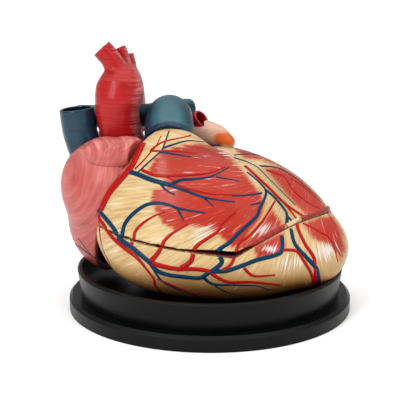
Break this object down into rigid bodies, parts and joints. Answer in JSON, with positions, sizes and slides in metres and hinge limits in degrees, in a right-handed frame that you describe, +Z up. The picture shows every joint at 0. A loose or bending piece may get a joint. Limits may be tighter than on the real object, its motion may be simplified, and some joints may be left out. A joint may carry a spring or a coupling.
{
  "type": "heart anatomy model",
  "caption": "Enlarged human heart teaching model on a round dished stand; the front wall of the ventricles pulls off and the atria with the great vessels lift off.",
  "frame": {"origin": "centre of the ring on the underside of the stand's foot, in the plane it rests on", "axes": "+X to the right of a viewer facing the front of the heart, +Y away from the viewer, +Z up"},
  "size_m": [0.2673, 0.26, 0.2423],
  "materials": {
    "muscle_red": "gloss",
    "fat_yellow": "gloss",
    "atrium_pink": "gloss",
    "auricle_peach": "gloss",
    "artery_red": "gloss",
    "vein_blue": "gloss",
    "valve_cream": "satin",
    "stand_black": "satin",
    "steel": "satin",
    "brass": "satin"
  },
  "bodies": {
    "base": {"stand_dish": "stand_black", "stand_screws": "steel", "threaded_inserts": "brass", "ventricle_body": "fat_yellow", "valve_plate": "valve_cream", "tricuspid_valve": "valve_cream", "mitral_valve": "valve_cream", "papillary_muscles": "muscle_red", "tendinous_cords": "valve_cream", "seam_pegs": "steel", "seam_magnets": "steel", "crown_pegs": "steel"},
    "cover": {"front_cover": "muscle_red", "cover_sleeves": "brass", "cover_magnets": "steel"},
    "crown": {"right_atrium": "atrium_pink", "right_auricle": "atrium_pink", "left_atrium": "atrium_pink", "left_auricle": "auricle_peach", "superior_vena_cava": "vein_blue", "inferior_vena_cava": "vein_blue", "pulmonary_veins": "artery_red", "aorta": "artery_red", "aortic_valve": "valve_cream", "pulmonary_trunk": "vein_blue", "pulmonary_valve": "valve_cream", "crown_sleeves": "brass"}
  },
  "joints": [
    {"name": "front_wall_pull", "type": "slide", "parent": "base", "child": "cover", "axis": [0.2498, -0.6995, 0.6695], "range_m": [0, 0.13]},
    {"name": "crown_lift", "type": "slide", "parent": "base", "child": "crown", "axis": [-0.1201, 0.2502, 0.9607], "range_m": [0, 0.12]}
  ]
}
